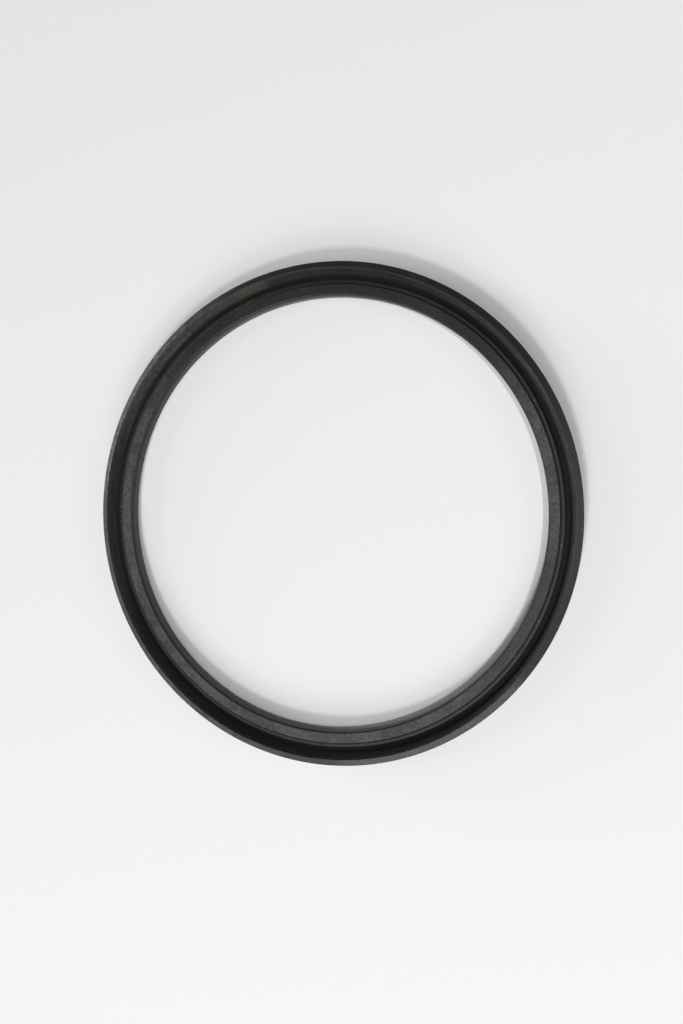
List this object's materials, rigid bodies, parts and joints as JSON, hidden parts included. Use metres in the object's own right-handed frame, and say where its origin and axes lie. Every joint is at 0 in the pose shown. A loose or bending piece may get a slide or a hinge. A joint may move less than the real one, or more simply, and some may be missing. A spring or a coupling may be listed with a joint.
{
  "type": "lip seal",
  "caption": "Round black rubber lip seal of U-shaped section, moulded in one piece, with a padded inner lip, a groove and a taller bevelled outer lip.",
  "frame": {"origin": "middle of the flat heel face, on the seal's axis, at the level of the surface it lies on", "axes": "+Z along the seal's axis, out of the groove and lips"},
  "size_m": [0.0784, 0.0784, 0.0041],
  "materials": {
    "moulded_rubber": "satin black moulded rubber with faint dust and fine rings round the lips"
  },
  "bodies": {
    "root": {"lip_seal": "moulded_rubber"}
  },
  "joints": []
}
